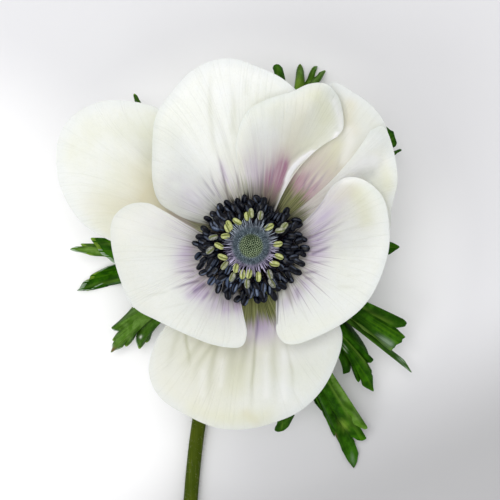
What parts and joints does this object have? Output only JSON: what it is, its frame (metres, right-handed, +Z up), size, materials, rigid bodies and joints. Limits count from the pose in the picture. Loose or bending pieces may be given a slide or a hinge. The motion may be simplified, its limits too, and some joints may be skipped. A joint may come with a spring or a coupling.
{
  "type": "anemone flower",
  "caption": "Cut anemone bloom lying face up: cupped petals in overlapping tiers, ring of dark stamens, bristling pistil, toothed leaves and a curved stem.",
  "frame": {"origin": "centre of the bounding box in plan, at the surface that the flower lies on", "axes": "+Z up, the way the open bloom faces; +Y from the cut end of the stem towards the bloom; +X to the right as the bloom is looked at from above"},
  "size_m": [0.0862, 0.1978, 0.0439],
  "materials": {
    "petal": "matt ivory white, lavender at the foot",
    "leaf": "satin deep green",
    "stem": "satin olive green",
    "pistil": "downy blue grey over green",
    "stamens_dark": "satin navy, nearly black",
    "stamens_yellow": "matt yellow green"
  },
  "bodies": {
    "root": {"petal_upper_left": "petal", "petal_back_right": "petal", "petal_bottom": "petal", "petal_top": "petal", "petal_side_right": "petal", "petal_left": "petal", "petal_upper_right": "petal", "petal_right": "petal", "leaf_left": "leaf", "leaf_lower": "leaf", "leaf_upper": "leaf", "stem": "stem", "pistil": "pistil", "stamens_dark": "stamens_dark", "stamens_yellow": "stamens_yellow"}
  },
  "joints": []
}
